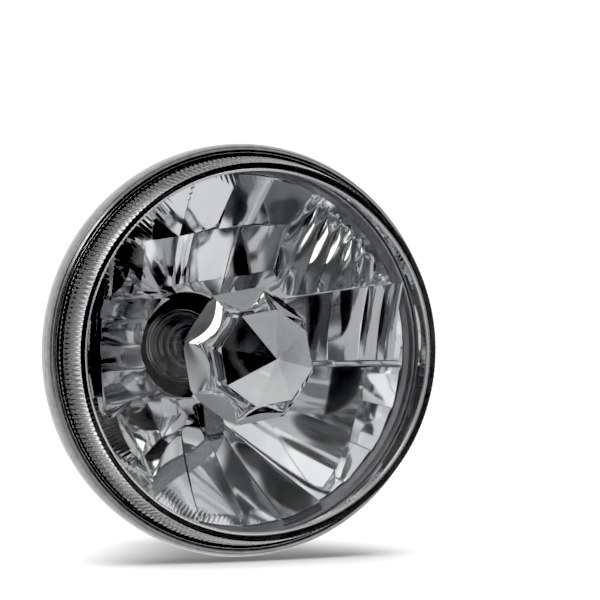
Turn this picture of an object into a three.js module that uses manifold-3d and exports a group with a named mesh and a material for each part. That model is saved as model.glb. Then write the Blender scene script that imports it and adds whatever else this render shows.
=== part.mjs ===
// Round seven-inch headlight unit: reflector, lens, bulb shield, halogen bulb and its holder.
// Millimetres. X runs across the lamp, Z is up, and Y runs along the lamp's axis to the rear.
// The origin is on that axis, in the plane where the rim's rear face seats.

import * as THREE from 'three';
import { mergeVertices } from 'three/addons/utils/BufferGeometryUtils.js';
import Module from 'manifold-3d';

const wasm = await Module();
wasm.setup();

// ---- Driving dimensions ----

const GAP = 0.3; // left between pieces that touch on the real lamp
const ROUND = 60; // sides of the large round pieces
const MIDDLE = 40; // sides of the holder-sized pieces
const SMALL = 32; // sides of the bulb-sized pieces
const TINY = 12; // sides of rivets and their holes

// Rim and reflector bowl. A depth is a Y value: behind the seating plane it is positive.
const RIM_R = 89;
const RIM_FRONT = 9.7;
const RIM_IN_R = 76;
const BOWL_EDGE_R = 75.7;
const BOWL_LIP_R = 79.5;
const BOWL_LIP_T = 1.5;
const BOWL_HOLE_R = 24;
const BOWL_FOCUS = 18.5;
const BOWL_VERTEX = 77.8;
const BOWL_WALL = 1.6;
const BOWL_STEPS = 9;
const NECK_R = 25.6;
const NECK_DEPTH = 76;
const NECK_PLATE = 2;
const NECK_PLATE_R = 33;
const CHANNEL_IN_R = 79;
const CHANNEL_OUT_R = 84.6;
const CHANNEL_FLOOR = 3;
const LUG_ANGLES = [90, 215, 325];
const LUG_DEPTH = 6;

// Lens.
const LENS_WALL = 3.2;
const LENS_FOOT_R = 83.6;
const LENS_FOOT = 7;
const LENS_CORNER_R = 80.3;
const LENS_CORNER = 27.4;
const DOME_RISE = 21;
const DOME_STEPS = 6;

// Bulb holder.
const HOLE_R = 19.3;
const HOLDER_FRONT = NECK_DEPTH + NECK_PLATE + 1 + 2 * GAP;
const HOLDER_REAR = HOLDER_FRONT + 3;
const HOLDER_R = 36;
const HOLDER_WALL = 2;
const HOLDER_LIP = HOLDER_REAR + 5.9;
const RIVET_R = 1.6;
const RIVET_HEAD_R = 2.9;
const RIVET_HEAD = 1.1;
const RIVET_CIRCLE_R = 29.5;

// Bulb: its reference plane is the front of the flange, one gap behind the holder.
const REF = HOLDER_REAR + GAP;
const FLANGE_R = 19.8;
const FLANGE_LUG_R = 21.5;
const FLANGE_T = 1;
const RING_R = 18.9;
const RING_IN_R = 15.3;
const COLLAR_R = 10.9;
const CAN_R = 13;
const CAN_REAR = REF + 18.1;
const BULB_REAR = REF + 32;
const GLASS_R = 8.5;
const GLASS_TIP = REF - 56;
const FILAMENT_LOW = REF - 29.5;
const FILAMENT_HIGH = REF - 22.5;
const FILAMENT_LENGTH = 5.2;
const BLADE_OUT = 8;

// Wire clip: it hinges below the bulb, and its two free ends lie in slots of the catch above.
const WIRE_R = 0.75;
const HINGE_Z = -29;
const HINGE_Y = REF + FLANGE_T + 2.1;
const CLIP_Y = REF + FLANGE_T + GAP + WIRE_R + 0.1;
const CATCH_Z = 28.6;
const CLIP_END_X = 15.2;

// Shield in front of the bulb: an eight-sided cap on a strap.
const SHIELD_DROP = 2.3;
const SHIELD_TURN = 12.6;
const SHIELD_TIP = 43.6;
const SHIELD_FACE_R = 20.9;
const SHIELD_FACE = 31.8;
const SHIELD_BRIM_R = 30.7;
const SHIELD_BRIM = 9.9;
const STRAP_ANGLE = -80.1;
const STRAP_WIDTH = 9;
const STRAP_T = 1.2;
const FOOT_R = 35;
const FOOT_HALF = 6;

const radians = THREE.MathUtils.degToRad;

// ---- Building blocks ----

// A closed manifold solid from any three.js geometry, with its faces turned outward.
function solid(geometry) {
  const plain = geometry.clone();
  plain.deleteAttribute('normal');
  plain.deleteAttribute('uv');
  const merged = mergeVertices(plain, 1e-4);
  const place = merged.attributes.position;
  const corners = [0, 1, 2].map(() => new THREE.Vector3());
  const faces = [];
  let volume = 0;
  for (let i = 0; i < merged.index.count; i += 3) {
    const face = [0, 1, 2].map((k) => merged.index.getX(i + k));
    if (new Set(face).size < 3) continue;
    corners.forEach((corner, k) => corner.fromBufferAttribute(place, face[k]));
    volume += corners[0].dot(corners[1].clone().cross(corners[2]));
    faces.push(face);
  }
  if (volume < 0) faces.forEach((face) => face.reverse());
  const vertProperties = Float32Array.from(place.array);
  const triVerts = Uint32Array.from(faces.flat());
  return new wasm.Manifold(new wasm.Mesh({ numProp: 3, vertProperties, triVerts }));
}

// A body turned about the Y axis from a closed outline of [radius, depth] points.
function turned(outline, sides = ROUND, start = 0) {
  const points = outline.map(([r, y]) => new THREE.Vector2(r, y));
  const closed = [...points, points[0].clone()];
  return solid(new THREE.LatheGeometry(closed, sides, radians(start), 2 * Math.PI));
}

// A straight-sided body: an outline of [x, z] points from one depth to another.
function slab(outline, front, rear, holes = []) {
  const shape = new THREE.Shape(outline.map(([x, z]) => new THREE.Vector2(x, z)));
  for (const [x, z, r] of holes) {
    const hole = new THREE.Path().absarc(x, z, r, 0, 2 * Math.PI, true);
    shape.holes.push(hole);
  }
  const options = { depth: rear - front, bevelEnabled: false, curveSegments: TINY };
  const geometry = new THREE.ExtrudeGeometry(shape, options);
  return solid(geometry.rotateX(Math.PI / 2).translate(0, rear, 0));
}

function box(x0, x1, z0, z1, front, rear) {
  return slab([[x0, z0], [x1, z0], [x1, z1], [x0, z1]], front, rear);
}

// A round bar parallel to the lamp's axis.
function bar(x, z, r, front, rear, sides = TINY) {
  return turned([[0, front], [r, front], [r, rear], [0, rear]], sides).translate(x, 0, z);
}

// A round wire along a smooth curve through [x, y, z] points.
function wire(points, r, steps, sides = 6) {
  const path = new THREE.CatmullRomCurve3(points.map((p) => new THREE.Vector3(...p)));
  path.curveType = 'centripetal';
  const turn = (k) => (2 * Math.PI * k) / sides;
  const ring = Array.from({ length: sides }, (_, k) => turn(k));
  const shape = new THREE.Shape(ring.map((a) => new THREE.Vector2(r * Math.cos(a), r * Math.sin(a))));
  return solid(new THREE.ExtrudeGeometry(shape, { steps, extrudePath: path, bevelEnabled: false }));
}

// A rivet: a domed head in front, a shank, and a flat formed head behind.
function rivet(front, rear) {
  const shank = RIVET_R - GAP;
  const domed = [[0, front - RIVET_HEAD], [1.6, front - 0.8 * RIVET_HEAD], [RIVET_HEAD_R, front - GAP]];
  const tail = [[RIVET_HEAD_R - 0.3, rear + GAP], [RIVET_HEAD_R - 0.5, rear + RIVET_HEAD]];
  const outline = [...domed, [shank, front - GAP], [shank, rear + GAP], ...tail, [0, rear + RIVET_HEAD]];
  return turned(outline, TINY);
}

// ---- Materials ----

const FINISHES = {
  rim_steel: [0x6d6f72, 0.38, 0.9],
  mirror: [0xc4c6c9, 0.12, 1],
  lens_glass: [0xdfe6ea, 0.05, 0],
  sealant: [0x17181a, 0.75, 0],
  gasket: [0x2b2c2e, 0.9, 0],
  holder_black: [0x101113, 0.55, 0],
  bright_steel: [0xb9bcc0, 0.3, 1],
  spring_steel: [0x8d9196, 0.35, 1],
  bulb_glass: [0xe8eef2, 0.03, 0],
  ceramic: [0xb8b2a4, 0.7, 0],
  tungsten: [0x4a4a4c, 0.45, 0.9],
  rubber: [0x141414, 0.85, 0],
  chrome: [0xd4d6d9, 0.08, 1],
};

function named(name, finish, body) {
  const { vertProperties, triVerts } = body.getMesh();
  const geometry = new THREE.BufferGeometry();
  geometry.setAttribute('position', new THREE.BufferAttribute(vertProperties, 3));
  geometry.setIndex(new THREE.BufferAttribute(triVerts, 1));
  geometry.computeVertexNormals();
  const [color, roughness, metalness] = FINISHES[finish];
  const mesh = new THREE.Mesh(geometry, new THREE.MeshStandardMaterial({ color, roughness, metalness }));
  mesh.name = name;
  return mesh;
}

// ---- Reflector bowl and rim ----

const bowlDepth = (r) => BOWL_VERTEX - (r * r) / (4 * BOWL_FOCUS);

// The bowl's back face: the front face moved one wall thickness along its normal.
function bowlBack(r) {
  const slope = r / (2 * BOWL_FOCUS);
  const length = Math.hypot(1, slope);
  return [r + (BOWL_WALL * slope) / length, bowlDepth(r) + BOWL_WALL / length];
}

// The mounting holes through the neck flange, the gasket and the holder.
function rivetPlaces() {
  const place = (angle) => [
    RIVET_CIRCLE_R * Math.cos(radians(angle)), RIVET_CIRCLE_R * Math.sin(radians(angle))];
  return {
    holder_rivet_left: place(180),
    holder_rivet_right: place(0),
    bracket_rivet_left: place(-102),
    bracket_rivet_right: place(-78),
    catch_rivet_left: place(102),
    catch_rivet_right: place(78),
  };
}

function drilled(body, front, rear) {
  const holes = Object.values(rivetPlaces()).map(([x, z]) => bar(x, z, RIVET_R, front - 1, rear + 1));
  return holes.reduce((rest, hole) => rest.subtract(hole), body);
}

// The mirror bowl: an out-turned lip at its edge, a neck behind it and a plate for the rivets.
function reflector() {
  const radii = Array.from({ length: BOWL_STEPS }, (_, k) => (
    BOWL_HOLE_R + ((BOWL_EDGE_R - BOWL_HOLE_R) * k) / (BOWL_STEPS - 1)));
  const inside = radii.map((r) => [r, bowlDepth(r)]);
  const lip = bowlDepth(BOWL_EDGE_R);
  const edge = [[BOWL_LIP_R, lip], [BOWL_LIP_R, lip + BOWL_LIP_T], [77, lip + BOWL_LIP_T]];
  const behind = [BOWL_EDGE_R - 1.2, ...radii.slice(1, -1).reverse()].map(bowlBack);
  const neck = [[NECK_R, bowlBack(NECK_R - 1)[1]], [NECK_R, NECK_DEPTH], [NECK_PLATE_R, NECK_DEPTH]];
  const plate = [[NECK_PLATE_R, NECK_DEPTH + NECK_PLATE], [BOWL_HOLE_R, NECK_DEPTH + NECK_PLATE]];
  const shell = turned([...inside, ...edge, ...behind, ...neck, ...plate]);
  const ready = drilled(shell, NECK_DEPTH, NECK_DEPTH + NECK_PLATE);
  return strapRivetPlaces().reduce((rest, place) => rest.subtract(strapDrill(place)), ready);
}

// The clamping rim: a stepped inner edge, a channel for the lens, a rounded crest and three lugs.
function rim() {
  const step = [[RIM_IN_R, 0], [76.2, -1], [77.6, -3.4], [78.2, -6.2], [CHANNEL_IN_R, -6.6]];
  const channel = [[CHANNEL_IN_R, -CHANNEL_FLOOR], [CHANNEL_OUT_R, -CHANNEL_FLOOR]];
  const crest = [[CHANNEL_OUT_R, 0.4 - RIM_FRONT], [85, -RIM_FRONT], [87.3, -7.7], [88.6, -5]];
  const ring = turned([...step, ...channel, ...crest, [RIM_R, -2.5], [RIM_R, 0]]);
  const lug = box(80, 87, -6, 6, -1, LUG_DEPTH);
  return LUG_ANGLES.reduce((whole, angle) => whole.add(lug.rotate([0, -angle, 0])), ring);
}

// A bright collar that lines the lens's skirt, from the rim's inner edge to the lens's corner.
function reflectorCollar() {
  return turned([[79.3, -7], [79.9, -7], [76.8, -24.1], [76.2, -24.1]]);
}

// ---- Lens and its seal ----

function domeRing(rise, edgeR, edge, steps) {
  const sphereR = (edgeR ** 2 + rise ** 2) / (2 * rise);
  return Array.from({ length: steps + 1 }, (_, k) => {
    const r = (edgeR * (steps - k)) / steps;
    return [r, -(edge + Math.sqrt(sphereR ** 2 - r ** 2) - (sphereR - rise))];
  });
}

function lens() {
  const outer = domeRing(DOME_RISE, LENS_CORNER_R, LENS_CORNER, DOME_STEPS);
  const innerR = LENS_CORNER_R - LENS_WALL;
  const inner = domeRing(DOME_RISE - 0.6, innerR, LENS_CORNER - LENS_WALL + 0.6, DOME_STEPS);
  const skirt = [[LENS_FOOT_R - LENS_WALL, -LENS_FOOT], [LENS_FOOT_R, -LENS_FOOT], [83.5, -13.1]];
  return turned([...skirt, ...outer, ...inner.reverse()]);
}

function lensSealant() {
  const floor = -(CHANNEL_FLOOR + GAP);
  const foot = -(LENS_FOOT - GAP);
  const innerLeg = [[CHANNEL_IN_R + GAP, floor], [CHANNEL_IN_R + GAP, -6.4], [80, -6.4], [80, foot]];
  const outerLeg = [[LENS_FOOT_R + GAP, foot], [LENS_FOOT_R + GAP, -8.8], [CHANNEL_OUT_R - GAP, -8.8]];
  return turned([...innerLeg, ...outerLeg, [CHANNEL_OUT_R - GAP, floor]]);
}

// ---- Bulb holder, clip hardware and dust boot ----

function holderGasket() {
  const front = NECK_DEPTH + NECK_PLATE + GAP;
  const rear = HOLDER_FRONT - GAP;
  const ring = turned([[24.4, front], [NECK_PLATE_R, front], [NECK_PLATE_R, rear], [24.4, rear]], MIDDLE);
  return drilled(ring, front, rear);
}

// A plate with a dark sleeve that reaches forward through the neck and a wall for the boot.
function bulbHolder() {
  const sleeve = [[HOLE_R, HOLDER_REAR], [HOLE_R, 72], [23.6, 72], [23.6, HOLDER_FRONT]];
  const plate = [[HOLDER_R, HOLDER_FRONT], [HOLDER_R, HOLDER_LIP]];
  const wall = [[HOLDER_R - HOLDER_WALL, HOLDER_LIP], [HOLDER_R - HOLDER_WALL, HOLDER_REAR]];
  return drilled(turned([...sleeve, ...plate, ...wall], MIDDLE), HOLDER_FRONT, HOLDER_REAR);
}

// Base plate and two upright ears that the middle of the clip turns in.
function clipBracket() {
  const front = REF;
  const top = HINGE_Y + 2.2;
  const base = box(-11.6, 11.6, -31, -25.2, front, front + 1);
  const ear = box(10.6, 11.6, -31, -26.6, front, top);
  const axle = bar(0, 0, WIRE_R + GAP, -20, 20).rotate([0, 0, 90]).translate(0, HINGE_Y, HINGE_Z);
  const body = base.add(ear).add(ear.mirror([1, 0, 0])).subtract(axle);
  return drilled(body, front, front + 1);
}

// Plate with two pairs of low tabs; each free end of the clip lies between a pair.
function clipCatch() {
  const outline = [[-18, 24.2], [18, 24.2], [18, 27.4], [7.5, 32.2], [-7.5, 32.2], [-18, 27.4]];
  const inner = box(CLIP_END_X - 2.3, CLIP_END_X - 1.15, 24.6, CATCH_Z - 1, REF, REF + 3.6);
  const outer = box(CLIP_END_X + 1.15, CLIP_END_X + 2.3, 24.6, CATCH_Z - 2, REF, REF + 3.6);
  const pair = inner.add(outer);
  return slab(outline, REF, REF + 1).add(pair).add(pair.mirror([1, 0, 0]));
}

function bulbClip() {
  const side = [
    [8, HINGE_Y, HINGE_Z], [11.9, HINGE_Y, HINGE_Z], [13, HINGE_Y - 0.1, HINGE_Z + 1.2],
    [14.2, HINGE_Y - 0.3, -25], [17.4, CLIP_Y + 0.3, -19.4], [21.8, CLIP_Y, -12],
    [23.6, CLIP_Y, -4], [23.6, CLIP_Y, 3], [21.6, CLIP_Y, 9], [17.6, CLIP_Y, 12],
    [14.8, CLIP_Y, 13.9], [CLIP_END_X, CLIP_Y, 17.4], [CLIP_END_X, CLIP_Y, 21],
    [CLIP_END_X, CLIP_Y, 24.6], [CLIP_END_X, CLIP_Y, CATCH_Z],
  ];
  const other = side.map(([x, y, z]) => [-x, y, z]);
  return wire([...other.reverse(), ...side], WIRE_R, 84);
}

function dustBoot() {
  const lip = HOLDER_R + GAP;
  const outside = [[lip, 80.2], [lip + 2.4, 80.2], [lip + 3.2, 82], [lip + 3.2, 89], [lip + 1, 92.5]];
  const back = [[34.5, 96.6], [30, 98.4], [27, 98.4], [25, 97.6], [22, 97.6], [20, 99], [16.6, 99.6]];
  const sleeve = [[16.2, 104.6], [CAN_R + 0.4, 104.6], [CAN_R + 0.4, 96.2], [20, 95.4]];
  const inside = [[30, 95.4], [33.4, 93.6], [34.6, 90], [lip, HOLDER_LIP + GAP]];
  return turned([...outside, ...back, ...sleeve, ...inside], MIDDLE);
}

// ---- Bulb ----

// Flange disc with three lugs, and the ring that centres it in the holder.
function bulbFlange() {
  const inner = COLLAR_R + GAP;
  const front = REF - 5.4;
  const disc = [[inner, REF + FLANGE_T], [inner, REF - 0.9], [RING_IN_R, REF - 0.9], [RING_IN_R, front]];
  const ring = [[RING_R, front], [RING_R, REF], [FLANGE_R, REF], [FLANGE_R, REF + FLANGE_T]];
  const lug = turned([[FLANGE_R - 2, REF], [FLANGE_LUG_R, REF], [FLANGE_LUG_R, REF + FLANGE_T],
    [FLANGE_R - 2, REF + FLANGE_T]], SMALL);
  const sector = box(15, 25, -4.5, 4.5, REF - 1, REF + 2);
  const lugs = [90, 210, 330].map((angle) => lug.intersect(sector.rotate([0, -angle, 0])));
  return lugs.reduce((whole, each) => whole.add(each), turned([...disc, ...ring], SMALL));
}

function bulbCollar() {
  const outer = [[0, REF + FLANGE_T + 0.6], [COLLAR_R, REF + FLANGE_T + 0.6], [COLLAR_R, REF - 13.5]];
  const inner = [[9.3, REF - 13.5], [9.3, REF + FLANGE_T - 0.5], [0, REF + FLANGE_T - 0.5]];
  return turned([...outer, ...inner], SMALL);
}

function bulbCan() {
  const front = REF + FLANGE_T + 0.9;
  const outer = [[0, front], [CAN_R - 0.8, front], [CAN_R, front + 0.8], [CAN_R, CAN_REAR]];
  return turned([...outer, [CAN_R - 1, CAN_REAR], [CAN_R - 1, front + 1.2], [0, front + 1.2]], SMALL);
}

function baseInsulator() {
  const r = CAN_R - 1 - GAP;
  const outline = [[0, REF + 8], [r, REF + 8], [r, CAN_REAR + 0.4], [r - 0.8, CAN_REAR + 1], [0, CAN_REAR + 1]];
  return turned(outline, SMALL);
}

// A spade blade with a chamfered end and a latch hole, standing on the insulator.
function terminal() {
  const front = CAN_REAR + 1 + GAP;
  const tip = BULB_REAR;
  const half = 4;
  const outline = [[-half, front], [half, front], [half, tip - 1.2], [half - 1.2, tip],
    [1.2 - half, tip], [-half, tip - 1.2]];
  const shape = new THREE.Shape(outline.map(([x, y]) => new THREE.Vector2(x, y)));
  shape.holes.push(new THREE.Path().absarc(0, tip - 4, 0.9, 0, 2 * Math.PI, true));
  return solid(new THREE.ExtrudeGeometry(shape, { depth: 0.8, bevelEnabled: false, curveSegments: 5 }));
}

function bulbGlass() {
  const inner = GLASS_R - 0.9;
  const open = REF - 9;
  const shoulder = GLASS_TIP + 9;
  const dome = (r, top) => Array.from({ length: 5 }, (_, k) => {
    const a = (Math.PI / 2) * (k / 4);
    return [r * Math.cos(a), shoulder - (shoulder - top) * Math.sin(a)];
  });
  const outside = dome(GLASS_R, GLASS_TIP);
  const inside = dome(inner, GLASS_TIP + 1).reverse();
  return turned([[inner, open], [GLASS_R, open], ...outside, ...inside], 24);
}

function bulbStem() {
  const outline = [[-5.6, -2.2], [5.6, -2.2], [6, -1.4], [6, 1.4], [5.6, 2.2], [-5.6, 2.2], [-6, 1.4],
    [-6, -1.4]];
  return slab(outline, REF - 14, REF);
}

// A coiled filament lying along the lamp's axis.
function filament(middle, z) {
  const turns = 6;
  const perTurn = 6;
  const points = Array.from({ length: turns * perTurn + 1 }, (_, k) => {
    const angle = (2 * Math.PI * k) / perTurn;
    const y = middle + FILAMENT_LENGTH * (k / (turns * perTurn) - 0.5);
    return [0.62 * Math.cos(angle), y, z + 0.62 * Math.sin(angle)];
  });
  return wire(points, 0.16, turns * perTurn, 4);
}

// A half-round metal cup under the low-beam filament.
function filamentShield() {
  const front = FILAMENT_LOW - 4.6;
  const shape = new THREE.Shape();
  shape.absarc(0, 0, 3.2, radians(195), radians(345), false);
  shape.absarc(0, 0, 2.7, radians(345), radians(195), true);
  const options = { depth: 8.4, bevelEnabled: false, curveSegments: 8 };
  const cup = new THREE.ExtrudeGeometry(shape, options).rotateX(Math.PI / 2);
  return solid(cup.translate(0, front + 8.4, 0));
}

function supports() {
  const stem = REF - 14 - GAP;
  const front = FILAMENT_LOW - FILAMENT_LENGTH / 2;
  const rear = FILAMENT_HIGH + FILAMENT_LENGTH / 2;
  return {
    support_common: [[0, stem, -1], [0, stem - 1.6, -3.6], [0, stem - 6, -4.2], [0, front - 2, -4.2]],
    support_low: [[4.6, stem, 0], [4.6, FILAMENT_LOW, 0.4], [4, front - 1.2, 1], [1.4, front - 1.6, 1.2]],
    support_high: [[-4.6, stem, 0], [-4.6, rear - 3, 0.5], [-3.8, rear - 4, 0.8], [-1.4, rear - 4.4, 1]],
  };
}

// ---- Shield in front of the bulb ----

// The cap: eight flat facets on its face and a hollow skirt that flares to the brim.
function shieldCap() {
  const outside = [[0, -SHIELD_TIP], [SHIELD_FACE_R, -SHIELD_FACE], [21, -29.4], [21.7, -25.4],
    [23.3, -20.6], [26, -15.6], [28.6, -12.2], [SHIELD_BRIM_R, -SHIELD_BRIM]];
  const inside = [[29, -SHIELD_BRIM], [26.9, -12.8], [24.2, -16.6], [21.6, -21.4], [20, -26],
    [19.3, -30.6], [0, 1.6 - SHIELD_TIP]];
  return turned([...outside, ...inside], 8, SHIELD_TURN).translate(0, 0, -SHIELD_DROP);
}

// The strap's foot lies flat on the bowl under the hole: its direction, its normal and its middle.
function footFrame() {
  const lampR = FOOT_R + SHIELD_DROP;
  const slope = lampR / (2 * BOWL_FOCUS);
  const along = new THREE.Vector2(1, -slope).normalize();
  const out = new THREE.Vector2(-along.y, along.x).multiplyScalar(-1);
  const lift = GAP + 0.3 + STRAP_T / 2;
  const middle = new THREE.Vector2(FOOT_R, bowlDepth(lampR)).addScaledVector(out, lift);
  return { along, out, middle };
}

function strapRivetPlaces() {
  const { along, middle } = footFrame();
  return [-2.6, 3.2].map((shift) => middle.clone().addScaledVector(along, shift));
}

// Turns a body about its own Y axis into the foot's normal, at a place in the strap's plane.
function onFoot(body, place) {
  const { out } = footFrame();
  const tilt = THREE.MathUtils.radToDeg(Math.atan2(out.x, -out.y));
  const placed = body.rotate([0, 0, tilt]).translate(place.x, place.y, 0);
  return placed.rotate([0, -STRAP_ANGLE, 0]).translate(0, 0, -SHIELD_DROP);
}

function strapDrill(place) {
  return onFoot(bar(0, 0, 1.3, -6, 6), place);
}

function shieldRivet(place) {
  const face = STRAP_T / 2 + GAP;
  const head = [[0, -face - 0.9], [1.4, -face - 0.7], [2.2, -face]];
  const rear = STRAP_T / 2 + 0.6 + BOWL_WALL + 2 * GAP;
  const tail = [[1, -face], [1, rear + 0.3], [2.1, rear + 0.3], [1.9, rear + 1.1], [0, rear + 1.1]];
  return onFoot(turned([...head, ...tail], TINY), place);
}

// A strip of the strap's thickness along points in the plane of [radius, depth].
function shieldStrap() {
  const { along, middle } = footFrame();
  const far = middle.clone().addScaledVector(along, FOOT_HALF);
  const near = middle.clone().addScaledVector(along, -FOOT_HALF);
  const rise = [new THREE.Vector2(25.2, 64.5), new THREE.Vector2(19.6, 44), new THREE.Vector2(17, 10)];
  const end = [new THREE.Vector2(17, -20), new THREE.Vector2(17, -29)];
  const line = [far, near, ...rise, ...end];
  const offset = (side) => line.map((point, k) => {
    const before = line[Math.max(k - 1, 0)];
    const after = line[Math.min(k + 1, line.length - 1)];
    const way = after.clone().sub(before).normalize();
    return new THREE.Vector2(-way.y, way.x).multiplyScalar((side * STRAP_T) / 2).add(point);
  });
  const shape = new THREE.Shape([...offset(1), ...offset(-1).reverse()]);
  const strip = solid(new THREE.ExtrudeGeometry(shape, { depth: STRAP_WIDTH, bevelEnabled: false }));
  const placed = strip.translate(0, 0, -STRAP_WIDTH / 2).rotate([0, -STRAP_ANGLE, 0]);
  const body = placed.translate(0, 0, -SHIELD_DROP);
  return strapRivetPlaces().reduce((rest, place) => rest.subtract(strapDrill(place)), body);
}

// ---- Assembly ----

const lamp = new THREE.Group();
lamp.name = 'headlight';

lamp.add(named('rim', 'rim_steel', rim()));
lamp.add(named('reflector', 'mirror', reflector()));
lamp.add(named('reflector_collar', 'mirror', reflectorCollar()));
lamp.add(named('lens', 'lens_glass', lens()));
lamp.add(named('lens_sealant', 'sealant', lensSealant()));

lamp.add(named('shield_cap', 'chrome', shieldCap()));
lamp.add(named('shield_strap', 'bright_steel', shieldStrap()));
strapRivetPlaces().forEach((place, k) => {
  lamp.add(named(`shield_rivet_${k + 1}`, 'bright_steel', shieldRivet(place)));
});

lamp.add(named('holder_gasket', 'gasket', holderGasket()));
lamp.add(named('bulb_holder', 'holder_black', bulbHolder()));
lamp.add(named('clip_bracket', 'bright_steel', clipBracket()));
lamp.add(named('clip_catch', 'bright_steel', drilled(clipCatch(), REF, REF + 1)));
lamp.add(named('bulb_clip', 'spring_steel', bulbClip()));
for (const [name, [x, z]] of Object.entries(rivetPlaces())) {
  const rear = name.startsWith('holder') ? HOLDER_REAR : REF + 1;
  lamp.add(named(name, 'bright_steel', rivet(NECK_DEPTH, rear).translate(x, 0, z)));
}
lamp.add(named('dust_boot', 'rubber', dustBoot()));

lamp.add(named('bulb_flange', 'bright_steel', bulbFlange()));
lamp.add(named('bulb_collar', 'bright_steel', bulbCollar()));
lamp.add(named('bulb_can', 'bright_steel', bulbCan()));
lamp.add(named('base_insulator', 'holder_black', baseInsulator()));
lamp.add(named('terminal_common', 'bright_steel', terminal().translate(0, 0, BLADE_OUT)));
const upright = terminal().rotate([0, 90, 0]);
lamp.add(named('terminal_low', 'bright_steel', upright.translate(BLADE_OUT, 0, 0)));
lamp.add(named('terminal_high', 'bright_steel', upright.translate(-BLADE_OUT - 0.8, 0, 0)));
lamp.add(named('bulb_glass', 'bulb_glass', bulbGlass()));
lamp.add(named('bulb_stem', 'ceramic', bulbStem()));
for (const [name, points] of Object.entries(supports())) {
  lamp.add(named(name, 'spring_steel', wire(points, 0.4, 10, 5)));
}
lamp.add(named('filament_shield', 'bright_steel', filamentShield()));
lamp.add(named('filament_low', 'tungsten', filament(FILAMENT_LOW, 0)));
lamp.add(named('filament_high', 'tungsten', filament(FILAMENT_HIGH, 0)));

export default lamp;
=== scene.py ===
import math

import bmesh
import bpy
from mathutils import Matrix, Vector


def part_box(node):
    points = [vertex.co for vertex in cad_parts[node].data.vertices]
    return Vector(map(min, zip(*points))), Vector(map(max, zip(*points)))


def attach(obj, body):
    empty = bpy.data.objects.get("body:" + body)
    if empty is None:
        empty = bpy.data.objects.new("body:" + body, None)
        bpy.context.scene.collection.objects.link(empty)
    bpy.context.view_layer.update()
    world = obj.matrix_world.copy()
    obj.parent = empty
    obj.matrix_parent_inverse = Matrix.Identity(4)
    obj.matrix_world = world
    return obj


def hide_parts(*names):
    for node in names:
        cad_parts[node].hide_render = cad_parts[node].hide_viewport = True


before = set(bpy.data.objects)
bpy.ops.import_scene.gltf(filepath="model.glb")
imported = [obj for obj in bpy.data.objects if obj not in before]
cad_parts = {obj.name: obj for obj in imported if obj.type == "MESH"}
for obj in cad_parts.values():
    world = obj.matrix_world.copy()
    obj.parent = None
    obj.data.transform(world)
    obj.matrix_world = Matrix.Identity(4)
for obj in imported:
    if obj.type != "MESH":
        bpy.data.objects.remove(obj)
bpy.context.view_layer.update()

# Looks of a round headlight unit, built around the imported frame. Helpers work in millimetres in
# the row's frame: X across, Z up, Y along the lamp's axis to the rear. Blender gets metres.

MM = 0.001


def low(node):
    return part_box(node)[0] / MM


def high(node):
    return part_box(node)[1] / MM


# ---- Sizes ----

RIM_R = high("rim").x
RIM_FRONT = low("rim").y
LUG_REAR = high("rim").y
LUG_ANGLES = (90, 215, 325)
LENS_R = high("lens").x
LENS_FOOT = high("lens").y
LENS_TIP = low("lens").y
LENS_CORNER_R = 80.3
LENS_CORNER = -27.4
LENS_WALL = 3.2
FLUTES = 240

BOWL_FOCUS = 18.5
BOWL_VERTEX = 77.8
BOWL_HOLE_R = 24.0
BOWL_EDGE_R = 75.7
BOWL_WALL = 1.6
FACETS_R = 75.4
BOWL_LIP_R = high("reflector").x
BOWL_REAR = high("reflector").y
FACET_T = 0.7

SHIELD_DROP = 2.3
SHIELD_TURN = 122.4
SHIELD_TIP = low("shield_cap").y
SHIELD_BRIM = high("shield_cap").y
SHIELD_FACE_R = 20.9
SHIELD_FACE = -31.8
SHIELD_BRIM_R = 30.7
SHIELD_FLARE_R = 26.5
SHIELD_PINCH = 4.2
SHIELD_SLOPE = 0.75
SHIELD_SAG = 0.25
SHIELD_WALL = 1.5
STRAP_ANGLE = math.radians(-80.1)
STRAP_W = 9.0
STRAP_T = 1.2
FOOT_R = 35.0

BULB_REF = 82.9
CLIP_HINGE_Y = 86.0
CLIP_HINGE_Z = -29.0
CLIP_REST_Y = 85.05

FLOOR_Z = low("rim").z - 0.3


# ---- Mesh helpers ----

def piece(name, verts, faces, material, slot, node=None, body="lamp", sharp=30.0):
    """A smooth-shaded mesh object from points in millimetres, riding on a body.

    node: the CAD node that it stands for. Edges that turn by more than sharp degrees stay crisp.
    """
    mesh = bpy.data.meshes.new(name)
    mesh.from_pydata([Vector(v) * MM for v in verts], [], faces)
    work = bmesh.new()
    work.from_mesh(mesh)
    bmesh.ops.remove_doubles(work, verts=work.verts, dist=1e-7)
    bmesh.ops.dissolve_degenerate(work, edges=work.edges, dist=1e-7)
    bmesh.ops.recalc_face_normals(work, faces=work.faces)
    work.to_mesh(mesh)
    work.free()
    obj = bpy.data.objects.new(name, mesh)
    bpy.context.scene.collection.objects.link(obj)
    mesh.materials.append(material)
    mesh.polygons.foreach_set("use_smooth", [True] * len(mesh.polygons))
    mesh.set_sharp_from_angle(angle=math.radians(sharp))
    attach(obj, body)
    if node is not None:
        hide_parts(node)
    return obj


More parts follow.
